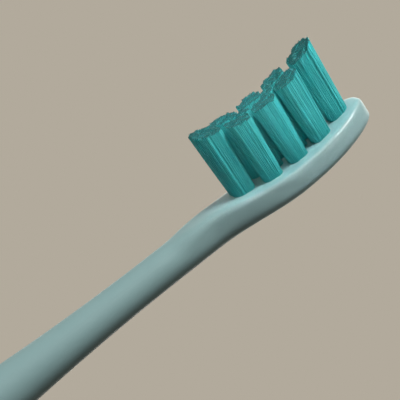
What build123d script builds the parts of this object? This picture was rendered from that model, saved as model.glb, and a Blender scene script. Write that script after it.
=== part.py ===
"""Push-on brush head for an electric toothbrush, in millimetres.

The head stands on its base: +Z runs up the neck to the tip, and the bristles point to -Y.
The origin is the centre of the shaft bore's mouth, in the plane of the base.
"""
from build123d import *
from math import atan, copysign, cos, pi, sin, sqrt
import os

# Neck
TOTAL_LENGTH = 79.1
BASE_DIAMETER = 9.5
BASE_EDGE_FILLET = 0.35
WAIST_DIAMETER = 5.76
WAIST_BELOW_TIP = 39.9
WAIST_LENGTH = 1.8

# Outline of the head, seen from the bristle side
HEAD_WIDTH = 11.5
WIDEST_BELOW_TIP = 16.6
FLARE_BELOW_TIP = 31.6

# Thickness of the head, measured from the neck's axis
BACK_OFFSET = 3.15
BACK_RISE_RADIUS = 66.0

# Dished bristle face
FACE_OFFSET = 1.72
DISH_RADIUS = 83.0
DISH_BELOW_TIP = 15.6
SQUARE_BELOW_TIP = 29.1

# Exponents of the rounded forms: 2 is an ellipse, more is squarer
FACE_SQUARENESS = 5.5
BACK_SQUARENESS = 3.2
NOSE_SQUARENESS = 2.4
NOSE_FACE_SQUARENESS = 13.0
NOSE_BACK_SQUARENESS = 4.0
FACE_BLEND = 16.0

# Sections of the loft: points on a side as shares of its length, and sections on each stretch
SIDE_SHARES = (0.0, 0.1, 0.3, 0.5, 0.7, 0.9, 1.0)
FINE_STEPS = 400
NECK_STEPS = 10
FLARE_STEPS = 10
NOSE_STEPS = 8
TIP_FLAT = 0.05

# Bristle field
FIELD_BELOW_TIP = 13.9
PAIR_ROWS = 3
PAIR_PITCH = 4.9
END_PITCH = 4.7
ROW_STAGGER = 0.5
FIELD_MARGIN = 1.9
TRIM_OFFSET = 12.3
TRIM_RADIUS = 29.0
TRIM_BELOW_TIP = 15.6

# Tufts: width across the head, length along it, flare of each side, corner to the neck and to the tip
PAIR_TUFT = (2.7, 3.15, 0.3, 0.9, 0.9)
MIDDLE_TUFT = (2.0, 2.0, 0.05, 0.9, 0.9)
NECK_TUFT = (4.4, 3.3, 0.3, 1.4, 0.8)
TIP_TUFT = (3.4, 3.4, 0.3, 0.8, 1.4)
MIDDLE_SHIFT = 0.45
STRAND_PITCH = 0.55
STRAND_DEPTH = 0.07
HOLE_DEPTH = 2.4
HOLE_CLEARANCE = 0.03

# Anchors that hold the tufts
ANCHOR_THICKNESS = 0.25
ANCHOR_HEIGHT = 1.2
ANCHOR_BITE = 0.2
ANCHOR_CLEARANCE = 0.02

# Drive insert and its seat in the neck
SHAFT_BORE_DIAMETER = 3.6
GUIDE_LENGTH = 9.0
RELIEF_DIAMETER = 4.0
RELIEF_LENGTH = 0.4
DRIVE_BORE_DIAMETER = 3.2
DRIVE_FLAT_OFFSET = 1.0
FLANGE_DIAMETER = 7.4
FLANGE_THICKNESS = 1.2
BARREL_DIAMETER = 6.0
BARREL_END = 10.0
NOSE_DIAMETER = 5.2
INSERT_LENGTH = 15.2
KEY_WIDTH = 1.2
KEY_HEIGHT = 0.35
KEY_LENGTH = 5.0
SEAT_CLEARANCE = 0.03
SEAT_END_ROOM = 0.15

# Spring clip
CLIP_THICKNESS = 0.25
CLIP_WIDTH = 2.0
CLIP_START = 9.6
CLIP_HOOK = 1.0
CLIP_CLEARANCE = 0.02

TIP = TOTAL_LENGTH
WAIST_Z = TIP - WAIST_BELOW_TIP
WAIST_END = WAIST_Z + WAIST_LENGTH
SQUARE_Z = TIP - SQUARE_BELOW_TIP
FLARE_Z = TIP - FLARE_BELOW_TIP
WIDEST_Z = TIP - WIDEST_BELOW_TIP
DISH_Z = TIP - DISH_BELOW_TIP
WAIST_RADIUS = WAIST_DIAMETER / 2
BASE_RADIUS = BASE_DIAMETER / 2
HALF_WIDTH = HEAD_WIDTH / 2
HOLE_FLOOR = HOLE_DEPTH - FACE_OFFSET


def ramp(value, start, end):
    """0 before start, 1 after end, with a smooth rise between."""
    share = min(max((value - start) / (end - start), 0.0), 1.0)
    return share * share * (3 - 2 * share)


def nose_share(z, squareness):
    """1 up to the widest place, then a rounded fall to 0 at the tip."""
    share = max(0.0, (z - WIDEST_Z) / WIDEST_BELOW_TIP)
    return (1 - share**squareness) ** (1 / squareness)


def neck_radius(z):
    """Radius of the round neck: a hollow curve from the base to the waist, then straight."""
    below = max(0.0, WAIST_Z - z) / WAIST_Z
    return WAIST_RADIUS + (BASE_RADIUS - WAIST_RADIUS) * below**2


def half_width(z):
    """Half the width of the outline at a height, seen from the bristle side."""
    flare = (HALF_WIDTH - WAIST_RADIUS) * ramp(z, FLARE_Z, WIDEST_Z)
    return (neck_radius(z) + flare) * nose_share(z, NOSE_SQUARENESS)


def face_height(z):
    """Distance from the neck's axis to the dished bristle face, on the centre line."""
    return FACE_OFFSET + DISH_RADIUS - sqrt(DISH_RADIUS**2 - (z - DISH_Z) ** 2)


def face_depth(z):
    """Reach of a section towards the bristles: the neck's radius, then the dish with a soft start."""
    neck = neck_radius(z)
    if z < WAIST_Z:
        return neck
    lower = (neck**-FACE_BLEND + face_height(z) ** -FACE_BLEND) ** (-1 / FACE_BLEND)
    return lower * nose_share(z, NOSE_FACE_SQUARENESS)


def back_depth(z):
    """Reach of a section towards the back."""
    swell = (BACK_OFFSET - WAIST_RADIUS) * ramp(z, FLARE_Z, WIDEST_Z)
    rise = max(0.0, z - WIDEST_Z) ** 2 / (2 * BACK_RISE_RADIUS)
    return (neck_radius(z) + swell - rise) * nose_share(z, NOSE_BACK_SQUARENESS)


def section_point(z, angle):
    """Point on the section at a height: round on the neck, and on the head squarer in front than behind."""
    across, through = cos(angle), sin(angle)
    power, depth = 2 + (FACE_SQUARENESS - 2) * ramp(z, WAIST_END, SQUARE_Z), face_depth(z)
    if through > 0:
        power, depth = 2 + (BACK_SQUARENESS - 2) * ramp(z, FLARE_Z, WIDEST_Z), back_depth(z)
    x = half_width(z) * copysign(abs(across) ** (2 / power), across)
    return Vector(x, depth * copysign(abs(through) ** (2 / power), through), z)


def side_angles(z, side):
    """Angles at which the set shares of one side's length are reached, and that length."""
    fine = [pi / 2 * (side + 0.5 * (2 * step / FINE_STEPS - 1) ** 3) for step in range(FINE_STEPS + 1)]
    points = [section_point(z, angle) for angle in fine]
    runs = [0.0]
    for start, end in zip(points, points[1:]):
        runs.append(runs[-1] + (end - start).length)
    marks = [share * runs[-1] for share in SIDE_SHARES]
    nearest = [min(range(FINE_STEPS + 1), key=lambda step: abs(runs[step] - mark)) for mark in marks]
    return [fine[step] for step in nearest], runs[-1]


def section(z):
    """Closed section at a height, in four smooth sides that meet in the middle of its corners."""
    sides = []
    nudge = 1e-4
    for side in range(4):
        angles, length = side_angles(z, side)
        ends = (angles[0], angles[-1])
        ways = [section_point(z, end + nudge) - section_point(z, end - nudge) for end in ends]
        tangents = [way.normalized() * length for way in ways]
        points = [section_point(z, angle) for angle in angles]
        sides.append(Edge.make_spline(points, tangents, parameters=SIDE_SHARES, scale=False))
    return Face(Wire(sides))


def cross_cylinder(radius, offset, z):
    """Long cylinder across the head whose lowest line is offset from the axis, at height z."""
    return Pos(0, -(offset + radius), z) * Rot(0, 90, 0) * Cylinder(radius, 4 * HEAD_WIDTH)


def upright(radius, start, end):
    """Cylinder on the neck's axis between two heights."""
    return Pos(0, 0, start) * Cylinder(radius, end - start, align=(Align.CENTER, Align.CENTER, Align.MIN))


def block(x_size, y_range, z_range):
    """Box centred on X between two Y values and two heights."""
    y_size, z_size = y_range[1] - y_range[0], z_range[1] - z_range[0]
    corner = (Align.CENTER, Align.MIN, Align.MIN)
    return Pos(0, y_range[0], z_range[0]) * Box(x_size, y_size, z_size, align=corner)


def blank():
    """Neck and head as one loft from the base, with its sections closer together towards the tip."""
    heights = [WAIST_Z * step / NECK_STEPS for step in range(NECK_STEPS)]
    heights += [WAIST_Z + (WIDEST_Z - WAIST_Z) * step / FLARE_STEPS for step in range(FLARE_STEPS)]
    heights += [WIDEST_Z + WIDEST_BELOW_TIP * sin(pi / 2 * step / NOSE_STEPS) for step in range(NOSE_STEPS)]
    heights.append(TIP - TIP_FLAT)
    form = loft([section(z) for z in heights])
    return fillet(form.edges().group_by(Axis.Z)[0], BASE_EDGE_FILLET)


def tuft_layout():
    """Name, form, place and turn of every tuft."""
    middle_z = TIP - FIELD_BELOW_TIP
    reach = PAIR_PITCH * (PAIR_ROWS - 1) / 2 + END_PITCH
    layout = [
        ("tuft_neck", NECK_TUFT, 0.0, middle_z - reach, 0.0),
        ("tuft_tip", TIP_TUFT, 0.0, middle_z + reach, 0.0),
    ]
    for row in range(PAIR_ROWS):
        for name, side, stagger in (("left", 1, 0.0), ("right", -1, ROW_STAGGER)):
            z = middle_z + PAIR_PITCH * (row - (PAIR_ROWS - 1) / 2) - stagger
            x = half_width(z) - FIELD_MARGIN - PAIR_TUFT[0] / 2
            step = PAIR_TUFT[1] / 2
            turn = atan((half_width(z + step) - half_width(z - step)) / (2 * step))
            layout.append((f"tuft_{name}_{row + 1}", PAIR_TUFT, side * x, z, side * turn))
    for gap in range(PAIR_ROWS - 1):
        z = middle_z + PAIR_PITCH * (gap + 1 - PAIR_ROWS / 2) - MIDDLE_SHIFT
        layout.append((f"tuft_middle_{gap + 1}", MIDDLE_TUFT, 0.0, z, 0.0))
    return layout


def tuft_plane(x, y, z, turn):
    """Plane across a tuft: its X is across the head, its Y along it, and its normal the bristles' way."""
    return Plane((x, y, z), x_dir=(cos(turn), 0, -sin(turn)), z_dir=(0, -1, 0))


def tuft_outline(form, grow):
    """Rounded outline of a tuft, grown by a distance on every side."""
    width, length, _, neck_corner, tip_corner = form
    outline = Rectangle(width + 2 * grow, length + 2 * grow)
    outline = fillet(outline.vertices().group_by(Axis.Y)[0], neck_corner + grow)
    return fillet(outline.vertices().group_by(Axis.Y)[-1], tip_corner + grow)


def tuft_hole(form, x, z, turn):
    """Blind hole for a tuft, from its floor out through the bristle face."""
    outline = tuft_outline(form, HOLE_CLEARANCE)
    return extrude(tuft_plane(x, HOLE_FLOOR, z, turn) * outline, HOLE_FLOOR + TRIM_OFFSET)


def strand_outline(form, grow, plane):
    """Outline of a bundle, scalloped into strands."""
    strands = round(tuft_outline(form, 0.0).face().outer_wire().length / STRAND_PITCH)
    edge = tuft_outline(form, grow - STRAND_DEPTH).face().outer_wire()
    arcs = []
    for strand in range(strands):
        start, crest, end = ((strand + share) / strands for share in (0.0, 0.5, 1.0))
        outward = (edge % crest).cross(Vector(0, 0, 1)).normalized()
        if outward.dot(edge @ crest) < 0:
            outward = -outward
        arcs.append(ThreePointArc(edge @ start, edge @ crest + outward * STRAND_DEPTH, edge @ (end % 1.0)))
    return plane * make_face(Wire(arcs))


def tuft(form, x, z, turn):
    """Fluted tuft, straight in its hole and flared above it, trimmed to the field's curve."""
    _, length, flare, _, _ = form
    rim = -max(face_height(z - length / 2), face_height(z + length / 2))
    end = -(TRIM_OFFSET + TRIM_RADIUS / 4)
    spread = flare * (end - rim) / (-TRIM_OFFSET - rim)
    levels = ((HOLE_FLOOR, 0.0), (rim, 0.0), (end, spread))
    outlines = [strand_outline(form, grow, tuft_plane(x, y, z, turn)) for y, grow in levels]
    trim = cross_cylinder(TRIM_RADIUS, TRIM_OFFSET, TIP - TRIM_BELOW_TIP)
    return loft(outlines, ruled=True) - [trim, anchor(form, x, z, turn, ANCHOR_CLEARANCE)]


def anchor(form, x, z, turn, grow=0.0):
    """Flat anchor at the foot of a hole, longer than the hole is wide, so that it bites into both walls."""
    length = form[0] + 2 * (HOLE_CLEARANCE + ANCHOR_BITE)
    outline = tuft_plane(x, HOLE_FLOOR, z, turn) * Rectangle(length + 2 * grow, ANCHOR_THICKNESS + 2 * grow)
    return extrude(outline, ANCHOR_HEIGHT + grow)


def insert_form(grow, end_room):
    """Outside of the drive insert, or its seat when it is grown by a clearance."""
    form = upright(FLANGE_DIAMETER / 2 + grow, 0, FLANGE_THICKNESS)
    form += upright(BARREL_DIAMETER / 2 + grow, 0, BARREL_END + grow)
    form += upright(NOSE_DIAMETER / 2 + grow, 0, INSERT_LENGTH + end_room)
    key_reach = BARREL_DIAMETER / 2 + KEY_HEIGHT + grow
    key_end = FLANGE_THICKNESS + KEY_LENGTH + grow
    return form + block(KEY_WIDTH + 2 * grow, (-key_reach, key_reach), (FLANGE_THICKNESS / 2, key_end))


def drive_insert():
    """Sleeve with a round guide bore, a relief, then a smaller D bore, and a seat for the spring clip."""
    drive_start = GUIDE_LENGTH + RELIEF_LENGTH
    drive_radius = DRIVE_BORE_DIAMETER / 2
    drive_bore = upright(drive_radius, drive_start, INSERT_LENGTH)
    drive_bore -= block(DRIVE_BORE_DIAMETER, (DRIVE_FLAT_OFFSET, drive_radius), (drive_start, INSERT_LENGTH))
    sleeve = insert_form(0.0, 0.0) - upright(SHAFT_BORE_DIAMETER / 2, 0, GUIDE_LENGTH)
    sleeve -= upright(RELIEF_DIAMETER / 2, GUIDE_LENGTH, drive_start)
    return sleeve - drive_bore - clip_form(CLIP_CLEARANCE)


def clip_form(grow):
    """Leg of the clip along the drive flat, or its seat when it is grown by a clearance."""
    outer = DRIVE_FLAT_OFFSET + CLIP_THICKNESS
    return block(CLIP_WIDTH + 2 * grow, (DRIVE_FLAT_OFFSET, outer + grow), (CLIP_START - grow, INSERT_LENGTH))


def spring_clip():
    """Bent leaf: the leg lies flush in the drive flat, and the hook rests on the insert's end."""
    hook = block(
        CLIP_WIDTH,
        (DRIVE_FLAT_OFFSET, DRIVE_FLAT_OFFSET + CLIP_HOOK),
        (INSERT_LENGTH, INSERT_LENGTH + CLIP_THICKNESS),
    )
    return clip_form(0.0) + hook


def head_body(layout):
    """Neck and head as one moulding, with blind holes for the tufts and a seat for the insert."""
    seat = insert_form(SEAT_CLEARANCE, CLIP_THICKNESS + SEAT_END_ROOM)
    holes = [tuft_hole(*place) for _, *place in layout]
    slots = [anchor(*place, ANCHOR_CLEARANCE) for _, *place in layout]
    return blank() - seat - holes - slots


def main():
    layout = tuft_layout()
    pieces = {name: tuft(*place) for name, *place in layout}
    pieces["head_body"] = head_body(layout)
    pieces["tuft_anchors"] = Compound([anchor(*place).solid() for _, *place in layout])
    pieces["drive_insert"] = drive_insert()
    pieces["spring_clip"] = spring_clip()
    os.makedirs("parts", exist_ok=True)
    for name, piece in pieces.items():
        export_step(piece, f"parts/{name}.step")


main()
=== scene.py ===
"""Looks of a push-on brush head for an electric toothbrush, in metres, in the frame of its solids.

The moulded body, the insert, the clip and the anchors keep their solids and get materials.
Each tuft is shown as a bundle of separate filaments that fills the form of its solid.
"""

import math
import random

import bpy
from mathutils import Matrix, Vector, noise
from mathutils.bvhtree import BVHTree


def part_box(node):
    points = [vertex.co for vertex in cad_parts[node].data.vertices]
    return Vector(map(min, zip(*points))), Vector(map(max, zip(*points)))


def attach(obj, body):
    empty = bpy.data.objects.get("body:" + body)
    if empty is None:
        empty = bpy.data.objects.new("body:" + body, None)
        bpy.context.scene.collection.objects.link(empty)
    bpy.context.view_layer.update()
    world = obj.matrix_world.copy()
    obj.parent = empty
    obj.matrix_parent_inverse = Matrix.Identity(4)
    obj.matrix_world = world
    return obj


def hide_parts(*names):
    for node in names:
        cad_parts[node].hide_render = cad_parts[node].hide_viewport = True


MM = 0.001

# Camera: where it looks from, how far the neck leans in the picture, and where the waist appears there
AZIMUTH, ELEVATION, LEAN = 69.0, -10.0, 38.0
DISTANCE = 230 * MM
WAIST_POINT = Vector((0, 0, 39.2 * MM))
WAIST_PIXEL = (165.9, 266.5)
PICTURE = 400
FOCAL_PIXELS = 1518.0
SENSOR = 36.0
CLIP_NEAR, CLIP_FAR = 0.01, 50.0

# Filaments: size and spacing, where they start in the hole, and the least height of a tip above that
FILAMENT_RADIUS = 0.081 * MM
FILAMENT_PITCH = 0.17 * MM
FILAMENT_SIDES = 6
FILAMENT_ROOT_Y = -0.55 * MM
LEAST_LENGTH = 5 * MM

# Rings of a filament: share of its length, and share of its full width
RINGS = ((0.0, 1.0), (0.35, 1.0), (0.7, 1.0), (0.993, 1.0), (0.998, 0.72), (1.0, 0.3))
RING_SHARES = [share for share, width in RINGS for side in range(FILAMENT_SIDES)]

# Reading a tuft's solid: depth of the band that counts as its root, and how far outside a ray starts
ROOT_BAND = 0.2 * MM
RAY_LEAD = 5 * MM

# Unevenness: places, bends and lengths of the filaments, clumps of shorter ones, and streaks of tone
JITTER = 0.03 * MM
BEND = 0.03 * MM
SPLAY = 1.10
TIP_SPREAD = 0.15 * MM
CLUMP_SIZE, CLUMP_STEP = 0.9 * MM, 0.4 * MM
CLUMP_MEAN, CLUMP_SWING = 0.2, 1.2
STREAK_SIZE = 0.35 * MM
TONE_MEAN, TONE_SWING, TONE_CHANCE = 0.6, 0.3, 0.1
SEED = 7

# Colours, linear
PLASTIC = (0.315, 0.490, 0.495)
PLASTIC_DEEP = (0.270, 0.440, 0.450)
# Painted light: paler cyan of the bristle face, for light shining through the bristles onto it
PLASTIC_BRISTLE_GLOW = (0.265, 0.510, 0.535)
TEAL = (0.09, 0.61, 0.62)
TEAL_DARK = (0.045, 0.5, 0.505)
# Painted shade: dark teal of the cut ends, where the tops sit in shade
TEAL_END_PAINTED_SHADE = (0.009, 0.105, 0.105)
BRASS = (0.58, 0.42, 0.16)
STEEL = (0.52, 0.53, 0.55)
INSERT_WHITE = (0.60, 0.62, 0.60)
FLOOR = (0.445, 0.402, 0.332)
FLOOR_BOUNCE = (0.022, 0.020, 0.017)
LAMP = (1.0, 0.985, 0.97)
WORLD_LIGHT = (1.0, 0.985, 0.96)

# Mottling: soft noise of the tones, finer noise of the relief, and roughness over the range of the soft one
CLOUD_DETAIL, CLOUD_ROUGHNESS = 3.0, 0.55
PEEL_DETAIL, PEEL_ROUGHNESS = 2.0, 0.5
PEEL_FINER = 9.0
CLOUD_LOW, CLOUD_HIGH = 0.3, 0.7
SMOOTHEST, ROUGHEST = 0.44, 0.54
RELIEF_DEPTH = 0.02 * MM

# Moulding: its mottling and relief, and its gloss
BODY_SCALE, BODY_RELIEF = 160.0, 0.06
BODY_SPECULAR = 0.35
HEAD_COAT, COAT_ROUGHNESS = 0.5, 0.10

# Parts of the moulding: heights where the head begins, facings of its bristle face, which gets a painted
# cyan glow of light shining through the bristles, and facings of its coat
HEAD_START, HEAD_FULL = 46 * MM, 58 * MM
GLOW_FACING_START, GLOW_FACING_FULL = -0.75, -0.97
COAT_START, COAT_FULL = 0.2, -0.2

# Nylon: shares of a filament's length where the painted shade at its root clears and where the painted
# shade of its cut end begins, and its finish
ROOT_DEEP, ROOT_CLEAR = 0.10, 0.45
# Painted shade: filaments darker towards the root, where the bundle and the plate shade them
ROOT_PAINTED_SHADE = (0.6, 0.6, 0.6)
CLEAR_TONE = (1.0, 1.0, 1.0)
END_START, END_FULL = 0.985, 0.998
NYLON_ROUGHNESS, NYLON_SPECULAR = 0.55, 0.3
NYLON_SCATTER = 0.3
SCATTER_RADIUS = (0.3, 1.0, 1.0)
SCATTER_SCALE = 0.15 * MM

# Floor: its disc, its mottling, and the distances over which it runs out into a plain tone
FLOOR_RADIUS, FLOOR_CORNERS = 3.0, 64
FLOOR_DROP = 0.02 * MM
FLOOR_SCALE, FLOOR_DEEP, FLOOR_ROUGHNESS = 9.0, 0.96, 0.9
FLOOR_LIT, FLOOR_PLAIN = 0.06, 0.30

# Strength of the soft light all round
WORLD_STRENGTH = 0.012

# Lamps: each faces a target, from a way given along the neck, below it and towards the camera
BODY_MIDDLE = Vector((0, 0, 55 * MM))
HEAD_MIDDLE = Vector((0, 0, 70 * MM))
TUFT_TIPS = Vector((0, -11 * MM, 67 * MM))
LAMPS = {
    "key": dict(target=BODY_MIDDLE, way=(0.70, -0.51, 0.50), distance=0.6, size=0.25, power=3.9, beam=180),
    "head": dict(target=HEAD_MIDDLE, way=(0.6, 0.35, 0.7), distance=0.10, size=0.03, power=0.0006, beam=45),
    "front": dict(target=TUFT_TIPS, way=(0.0, -0.5, 1.0), distance=0.3, size=0.03, power=0.0012, beam=6),
    "back": dict(target=BODY_MIDDLE, way=(0.4, 0.0, -0.9), distance=0.6, size=0.8, power=3.0, beam=180),
}

# Colour sockets of a mix node, which share their names with its other sockets
MIX_A, MIX_B, MIX_RESULT = 6, 7, 2


def rgba(colour):
    return (*colour, 1.0)


def darker(colour, share):
    """Colour at a share of its brightness."""
    return tuple(share * tone for tone in colour)


def new_object(name, data):
    """Object that shows some data, linked into the scene."""
    made = bpy.data.objects.new(name, data)
    bpy.context.collection.objects.link(made)
    return made


def add(tree, kind, **inputs):
    """New node with some of its inputs set by name."""
    made = tree.nodes.new(kind)
    for name, value in inputs.items():
        made.inputs[name.replace("_", " ")].default_value = value
    return made


def combined(tree, operation, first, second):
    """Output of a node that does arithmetic on two other outputs."""
    made = tree.nodes.new("ShaderNodeMath")
    made.operation = operation
    tree.links.new(first, made.inputs[0])
    tree.links.new(second, made.inputs[1])
    return made.outputs[0]


def mixed_colour(tree, factor, first, second):
    """Output of a node that mixes two colours, each a fixed tone or another output."""
    made = tree.nodes.new("ShaderNodeMix")
    made.data_type = "RGBA"
    tree.links.new(factor, made.inputs["Factor"])
    for socket, colour in ((made.inputs[MIX_A], first), (made.inputs[MIX_B], second)):
        if isinstance(colour, tuple):
            socket.default_value = rgba(colour)
        else:
            tree.links.new(colour, socket)
    return made.outputs[MIX_RESULT]


def mixed_shader(tree, factor, first, second):
    """Output of a node that mixes two shaders."""
    made = tree.nodes.new("ShaderNodeMixShader")
    for socket, output in zip(made.inputs, (factor, first, second)):
        tree.links.new(output, socket)
    return made.outputs[0]


def mottle_group():
    """Group that shifts a colour between two tones by soft noise, with a roughness and a fine height."""
    tree = bpy.data.node_groups.new("mottle", "ShaderNodeTree")
    sockets = (
        ("Tone A", "INPUT", "NodeSocketColor"),
        ("Tone B", "INPUT", "NodeSocketColor"),
        ("Scale", "INPUT", "NodeSocketFloat"),
        ("Color", "OUTPUT", "NodeSocketColor"),
        ("Height", "OUTPUT", "NodeSocketFloat"),
        ("Rough", "OUTPUT", "NodeSocketFloat"),
    )
    for name, way, kind in sockets:
        tree.interface.new_socket(name, in_out=way, socket_type=kind)
    source = tree.nodes.new("NodeGroupInput")
    sink = tree.nodes.new("NodeGroupOutput")
    place = tree.nodes.new("ShaderNodeTexCoord")
    cloud = add(tree, "ShaderNodeTexNoise", Detail=CLOUD_DETAIL, Roughness=CLOUD_ROUGHNESS)
    peel = add(tree, "ShaderNodeTexNoise", Detail=PEEL_DETAIL, Roughness=PEEL_ROUGHNESS)
    finer = tree.nodes.new("ShaderNodeMath")
    finer.operation = "MULTIPLY"
    finer.inputs[1].default_value = PEEL_FINER
    rough = add(tree, "ShaderNodeMapRange", From_Min=CLOUD_LOW, From_Max=CLOUD_HIGH)
    rough.inputs["To Min"].default_value = SMOOTHEST
    rough.inputs["To Max"].default_value = ROUGHEST
    tree.links.new(place.outputs["Object"], cloud.inputs["Vector"])
    tree.links.new(place.outputs["Object"], peel.inputs["Vector"])
    tree.links.new(source.outputs["Scale"], cloud.inputs["Scale"])
    tree.links.new(source.outputs["Scale"], finer.inputs[0])
    tree.links.new(finer.outputs[0], peel.inputs["Scale"])
    tree.links.new(cloud.outputs["Fac"], rough.inputs["Value"])
    tone = mixed_colour(tree, cloud.outputs["Fac"], source.outputs["Tone A"], source.outputs["Tone B"])
    tree.links.new(tone, sink.inputs["Color"])
    tree.links.new(peel.outputs["Fac"], sink.inputs["Height"])
    tree.links.new(rough.outputs["Result"], sink.inputs["Rough"])
    return tree


def new_material(name):
    """Material with nodes, its node tree and its shader."""
    made = bpy.data.materials.new(name)
    made.use_nodes = True
    tree = made.node_tree
    return made, tree, tree.nodes["Principled BSDF"]


def place_mottle(tree, tone_a, tone_b, scale):
    """The mottle group in a material, with tones and a scale of its own."""
    group = tree.nodes.new("ShaderNodeGroup")
    group.node_tree = MOTTLE
    group.inputs["Tone A"].default_value = rgba(tone_a)
    group.inputs["Tone B"].default_value = rgba(tone_b)
    group.inputs["Scale"].default_value = scale
    return group


def add_relief(tree, group, shader, strength):
    """Fine relief and uneven gloss from the mottle group."""
    relief = add(tree, "ShaderNodeBump", Strength=strength, Distance=RELIEF_DEPTH)
    tree.links.new(group.outputs["Height"], relief.inputs["Height"])
    tree.links.new(relief.outputs["Normal"], shader.inputs["Normal"])
    tree.links.new(group.outputs["Rough"], shader.inputs["Roughness"])


def mottled(name, tone, deep, scale, relief, metallic=0.0):
    """Material whose colour, gloss and fine relief come from the mottle group."""
    made, tree, shader = new_material(name)
    group = place_mottle(tree, tone, darker(tone, deep), scale)
    add_relief(tree, group, shader, relief)
    tree.links.new(group.outputs["Color"], shader.inputs["Base Color"])
    shader.inputs["Metallic"].default_value = metallic
    return made


def body_material():
    """Satin moulding, with a glossy coat on the head and painted light on its bristle face: a paler cyan
    tint for light shining through the bristles.
    """
    made, tree, shader = new_material("body_plastic")
    group = place_mottle(tree, PLASTIC, PLASTIC_DEEP, BODY_SCALE)
    add_relief(tree, group, shader, BODY_RELIEF)
    place = tree.nodes.new("ShaderNodeTexCoord")
    height = tree.nodes.new("ShaderNodeSeparateXYZ")
    facing = tree.nodes.new("ShaderNodeSeparateXYZ")
    head = add(tree, "ShaderNodeMapRange", From_Min=HEAD_START, From_Max=HEAD_FULL)
    front = add(tree, "ShaderNodeMapRange", From_Min=GLOW_FACING_START, From_Max=GLOW_FACING_FULL)
    glossy = add(tree, "ShaderNodeMapRange", From_Min=COAT_START, From_Max=COAT_FULL, To_Max=HEAD_COAT)
    tree.links.new(place.outputs["Object"], height.inputs[0])
    tree.links.new(place.outputs["Normal"], facing.inputs[0])
    tree.links.new(height.outputs["Z"], head.inputs["Value"])
    tree.links.new(facing.outputs["Y"], front.inputs["Value"])
    tree.links.new(facing.outputs["Y"], glossy.inputs["Value"])
    # Painted light: mask of the bristle face on the head, where the paler cyan glow is painted
    face = combined(tree, "MULTIPLY", head.outputs["Result"], front.outputs["Result"])
    coat = combined(tree, "MULTIPLY", head.outputs["Result"], glossy.outputs["Result"])
    colour = mixed_colour(tree, face, group.outputs["Color"], PLASTIC_BRISTLE_GLOW)
    tree.links.new(colour, shader.inputs["Base Color"])
    tree.links.new(coat, shader.inputs["Coat Weight"])
    shader.inputs["Specular IOR Level"].default_value = BODY_SPECULAR
    shader.inputs["Coat Roughness"].default_value = COAT_ROUGHNESS
    return made


def bristle_material():
    """Nylon: every filament has its own tone, with painted shade deepening it towards its root and on its
    cut end.
    """
    made, tree, shader = new_material("bristle_nylon")
    tone = tree.nodes.new("ShaderNodeAttribute")
    tone.attribute_name = "tone"
    along = tree.nodes.new("ShaderNodeAttribute")
    along.attribute_name = "along"
    # Painted shade: each filament darker towards its root
    ramp = tree.nodes.new("ShaderNodeValToRGB")
    stops = ((ROOT_DEEP, ROOT_PAINTED_SHADE), (ROOT_CLEAR, CLEAR_TONE))
    for stop, (position, colour) in zip(ramp.color_ramp.elements, stops):
        stop.position = position
        stop.color = rgba(colour)
    # Painted shade: the cut ends darkened
    end_shade = add(tree, "ShaderNodeMapRange", From_Min=END_START, From_Max=END_FULL)
    tree.links.new(along.outputs["Fac"], ramp.inputs["Fac"])
    tree.links.new(along.outputs["Fac"], end_shade.inputs["Value"])
    shade = combined(tree, "MULTIPLY", ramp.outputs["Color"], tone.outputs["Fac"])
    side = mixed_colour(tree, shade, TEAL_DARK, TEAL)
    whole = mixed_colour(tree, end_shade.outputs["Result"], side, TEAL_END_PAINTED_SHADE)
    tree.links.new(whole, shader.inputs["Base Color"])
    shader.inputs["Roughness"].default_value = NYLON_ROUGHNESS
    shader.inputs["Specular IOR Level"].default_value = NYLON_SPECULAR
    shader.inputs["Subsurface Weight"].default_value = NYLON_SCATTER
    shader.inputs["Subsurface Radius"].default_value = SCATTER_RADIUS
    shader.inputs["Subsurface Scale"].default_value = SCATTER_SCALE
    return made


def span(values):
    """Lowest and highest of some values."""
    values = list(values)
    return min(values), max(values)


def spread(solid):
    """Centre of a tuft, and its width at the root as a share of its greatest width."""
    points = [vertex.co for vertex in solid.data.vertices]
    root = max(point.y for point in points)
    low_x, high_x = span(point.x for point in points)
    low_z, high_z = span(point.z for point in points)
    root_low, root_high = span(point.x for point in points if point.y > root - ROOT_BAND)
    centre = Vector(((low_x + high_x) / 2, 0, (low_z + high_z) / 2))
    return centre, (root_high - root_low) / (high_x - low_x)


def filament_places(solid, chance):
    """Tip points of the filaments: a jittered hexagonal grid, kept inside the solid's outline."""
    corners = [vertex.co for vertex in solid.data.vertices]
    tree = BVHTree.FromPolygons(corners, [tuple(face.vertices) for face in solid.data.polygons])
    low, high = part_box(solid.name)
    row_step = FILAMENT_PITCH * math.sqrt(3) / 2
    rows = int((high[2] - low[2]) / row_step) + 1
    columns = int((high[0] - low[0]) / FILAMENT_PITCH) + 1
    places = []
    for row in range(rows):
        for column in range(columns):
            x = low[0] + FILAMENT_PITCH * (column + 0.5 * (row % 2)) + chance.uniform(-1, 1) * JITTER
            z = low[2] + row_step * (row + 0.5) + chance.uniform(-1, 1) * JITTER
            start = Vector((x, low[1] - RAY_LEAD, z))
            hit = tree.ray_cast(start, Vector((0, 1, 0)))[0]
            if hit and hit.y < FILAMENT_ROOT_Y - LEAST_LENGTH:
                places.append(hit)
    return places


def drawn(point, centre, share, y):
    """Point at a height y, with its distance from a tuft's middle line changed to a share of it."""
    x = centre.x + (point.x - centre.x) * share
    z = centre.z + (point.z - centre.z) * share
    return Vector((x, y, z))


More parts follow.
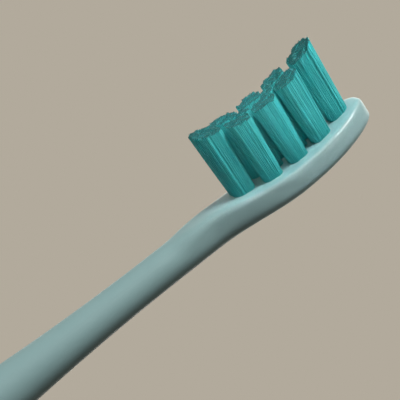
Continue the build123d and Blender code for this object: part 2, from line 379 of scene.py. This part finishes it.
def filament_points(root, end, bend, turn):
    """Rings of points around a slightly bent line from a filament's root to its rounded end."""
    points = []
    for share, width in RINGS:
        middle = root.lerp(end, share)
        middle += bend * (4 * share * (1 - share))
        reach = FILAMENT_RADIUS * width
        for side in range(FILAMENT_SIDES):
            angle = turn + 2 * math.pi * side / FILAMENT_SIDES
            points.append(middle + Vector((reach * math.cos(angle), 0, reach * math.sin(angle))))
    return points


def filament_faces(first):
    """Sides, end and root of a filament whose points start at a number."""
    faces = []
    for ring in range(len(RINGS) - 1):
        low = first + ring * FILAMENT_SIDES
        high = low + FILAMENT_SIDES
        for side in range(FILAMENT_SIDES):
            after = (side + 1) % FILAMENT_SIDES
            faces.append((low + side, low + after, high + after, high + side))
    top = first + (len(RINGS) - 1) * FILAMENT_SIDES
    faces.append(tuple(top + side for side in range(FILAMENT_SIDES)))
    faces.append(tuple(first + side for side in reversed(range(FILAMENT_SIDES))))
    return faces


def bundle(name, solid, material):
    """Filaments of one tuft, from inside its hole to its trimmed end."""
    chance = random.Random(f"{SEED} {name}")
    centre, root_share = spread(solid)
    vertices, faces, tones, alongs = [], [], [], []
    for place in filament_places(solid, chance):
        root = drawn(place, centre, root_share, FILAMENT_ROOT_Y)
        tip = drawn(place, centre, SPLAY, place.y)
        clump = min(max(CLUMP_MEAN + CLUMP_SWING * noise.noise(tip / CLUMP_SIZE), 0.0), 1.0)
        end_y = tip.y + clump * CLUMP_STEP + chance.random() ** 2 * TIP_SPREAD
        bend = Vector((chance.uniform(-1, 1), 0, chance.uniform(-1, 1))) * BEND
        tone = TONE_MEAN + TONE_SWING * noise.noise(tip / STREAK_SIZE)
        tone += chance.uniform(-TONE_CHANCE, TONE_CHANCE)
        turn = chance.uniform(0, math.pi)
        faces += filament_faces(len(vertices))
        vertices += filament_points(root, Vector((tip.x, end_y, tip.z)), bend, turn)
        tones += [tone] * len(RING_SHARES)
        alongs += RING_SHARES
    mesh = bpy.data.meshes.new(name)
    mesh.from_pydata(vertices, [], faces)
    for label, values in (("tone", tones), ("along", alongs)):
        mesh.attributes.new(label, "FLOAT", "POINT").data.foreach_set("value", values)
    mesh.shade_smooth()
    mesh.materials.append(material)
    return new_object(name, mesh)


def set_material(node_name, material):
    """Gives a solid of the frame one material."""
    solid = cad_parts[node_name]
    solid.data.materials.clear()
    solid.data.materials.append(material)


def view_axes():
    """Right, up and back of the camera, with the neck's axis leaning as it does in the picture."""
    azimuth, elevation, lean = (math.radians(angle) for angle in (AZIMUTH, ELEVATION, LEAN))
    flat = math.cos(elevation)
    back = Vector((math.sin(azimuth) * flat, -math.cos(azimuth) * flat, math.sin(elevation)))
    axis = (Vector((0, 0, 1)) - back * back.z).normalized()
    across = back.cross(axis)
    right = axis * math.cos(lean) - across * math.sin(lean)
    up = axis * math.sin(lean) + across * math.cos(lean)
    return right, up, back


def make_camera(right, up, back):
    """Camera that shows the waist at its place in the picture."""
    data = bpy.data.cameras.new("camera")
    data.sensor_width = SENSOR
    data.lens = SENSOR * FOCAL_PIXELS / PICTURE
    data.clip_start, data.clip_end = CLIP_NEAR, CLIP_FAR
    camera = new_object("camera", data)
    shift_right = (WAIST_PIXEL[0] - PICTURE / 2) / FOCAL_PIXELS * DISTANCE
    shift_up = (PICTURE / 2 - WAIST_PIXEL[1]) / FOCAL_PIXELS * DISTANCE
    place = WAIST_POINT + back * DISTANCE - right * shift_right - up * shift_up
    turn = Matrix((right, up, back)).transposed().to_4x4()
    camera.matrix_world = Matrix.Translation(place) @ turn
    bpy.context.scene.camera = camera


def lamp_axes(right, up, back):
    """Along the neck, below it, and towards the camera."""
    lean = math.radians(LEAN)
    along = right * math.cos(lean) + up * math.sin(lean)
    below = right * math.sin(lean) - up * math.cos(lean)
    return along, below, back


def make_lamp(name, axes, target, way, distance, size, power, beam):
    """Square soft box that faces a target, with the angle of its beam in degrees."""
    data = bpy.data.lights.new(name, "AREA")
    data.spread = math.radians(beam)
    data.shape = "SQUARE"
    data.size = size
    data.energy = power
    data.color = LAMP
    lamp = new_object(name, data)
    along, below, back = axes
    direction = (along * way[0] + below * way[1] + back * way[2]).normalized()
    lamp.location = target + direction * distance
    lamp.rotation_mode = "QUATERNION"
    lamp.rotation_quaternion = direction.to_track_quat("Z", "Y")


def seen_rays(tree):
    """1 for rays that show a surface to the camera, directly, mirrored or through glass."""
    path = tree.nodes.new("ShaderNodeLightPath")
    shown = path.outputs["Is Camera Ray"]
    for ray in ("Is Glossy Ray", "Is Transmission Ray"):
        shown = combined(tree, "MAXIMUM", shown, path.outputs[ray])
    return shown


def make_world():
    """Soft light all round, and the floor's pale tone wherever the camera sees past the floor."""
    world = bpy.data.worlds.new("studio")
    bpy.context.scene.world = world
    world.use_nodes = True
    tree = world.node_tree
    tree.nodes.clear()
    out = tree.nodes.new("ShaderNodeOutputWorld")
    seen = add(tree, "ShaderNodeBackground", Color=rgba(FLOOR), Strength=1.0)
    light = add(tree, "ShaderNodeBackground", Color=rgba(WORLD_LIGHT), Strength=WORLD_STRENGTH)
    shown = mixed_shader(tree, seen_rays(tree), light.outputs[0], seen.outputs[0])
    tree.links.new(shown, out.inputs["Surface"])


def floor_material():
    """Pale floor: it keeps the shadow, runs out into the plain tone, and throws little light back up."""
    made, tree, shader = new_material("floor_pale")
    shader.inputs["Base Color"].default_value = rgba(FLOOR_BOUNCE)
    shader.inputs["Roughness"].default_value = FLOOR_ROUGHNESS
    group = place_mottle(tree, FLOOR, darker(FLOOR, FLOOR_DEEP), FLOOR_SCALE)
    pale = tree.nodes.new("ShaderNodeBsdfDiffuse")
    plain = add(tree, "ShaderNodeEmission", Color=rgba(FLOOR), Strength=1.0)
    place = tree.nodes.new("ShaderNodeTexCoord")
    reach = tree.nodes.new("ShaderNodeVectorMath")
    reach.operation = "LENGTH"
    distant = add(tree, "ShaderNodeMapRange", From_Min=FLOOR_LIT, From_Max=FLOOR_PLAIN)
    tree.links.new(group.outputs["Color"], pale.inputs["Color"])
    tree.links.new(place.outputs["Object"], reach.inputs[0])
    tree.links.new(reach.outputs["Value"], distant.inputs["Value"])
    ground = mixed_shader(tree, distant.outputs["Result"], pale.outputs[0], plain.outputs[0])
    shown = mixed_shader(tree, seen_rays(tree), shader.outputs[0], ground)
    tree.links.new(shown, tree.nodes["Material Output"].inputs["Surface"])
    return made


def make_floor():
    """Large pale disc under the base."""
    angles = [2 * math.pi * corner / FLOOR_CORNERS for corner in range(FLOOR_CORNERS)]
    rim = [(FLOOR_RADIUS * math.cos(angle), FLOOR_RADIUS * math.sin(angle), 0) for angle in angles]
    mesh = bpy.data.meshes.new("floor")
    mesh.from_pydata(rim, [], [tuple(range(FLOOR_CORNERS))])
    mesh.materials.append(floor_material())
    floor = new_object("floor", mesh)
    floor.location.z = -FLOOR_DROP


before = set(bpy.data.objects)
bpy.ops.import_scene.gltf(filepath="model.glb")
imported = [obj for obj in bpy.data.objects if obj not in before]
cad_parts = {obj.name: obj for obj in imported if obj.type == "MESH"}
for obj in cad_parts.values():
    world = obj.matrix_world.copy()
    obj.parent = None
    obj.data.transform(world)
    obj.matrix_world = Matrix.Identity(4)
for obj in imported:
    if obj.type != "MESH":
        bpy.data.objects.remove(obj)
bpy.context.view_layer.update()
bpy.context.scene.view_settings.view_transform = "Standard"

MOTTLE = mottle_group()
insert_plastic = mottled("insert_plastic", INSERT_WHITE, deep=0.93, scale=300.0, relief=0.2)
anchor_brass = mottled("anchor_brass", BRASS, deep=0.8, scale=900.0, relief=0.1, metallic=1.0)
clip_steel = mottled("clip_steel", STEEL, deep=0.85, scale=700.0, relief=0.1, metallic=1.0)
set_material("head_body", body_material())
set_material("drive_insert", insert_plastic)
set_material("tuft_anchors", anchor_brass)
set_material("spring_clip", clip_steel)

nylon = bristle_material()
tufts = [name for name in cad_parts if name.startswith("tuft_") and name != "tuft_anchors"]
for node_name in tufts:
    filaments = bundle(f"{node_name}_filaments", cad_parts[node_name], nylon)
    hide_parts(node_name)
    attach(filaments, "root")

make_floor()
make_world()
camera_axes = view_axes()
make_camera(*camera_axes)
for lamp_name, settings in LAMPS.items():
    make_lamp(lamp_name, lamp_axes(*camera_axes), **settings)
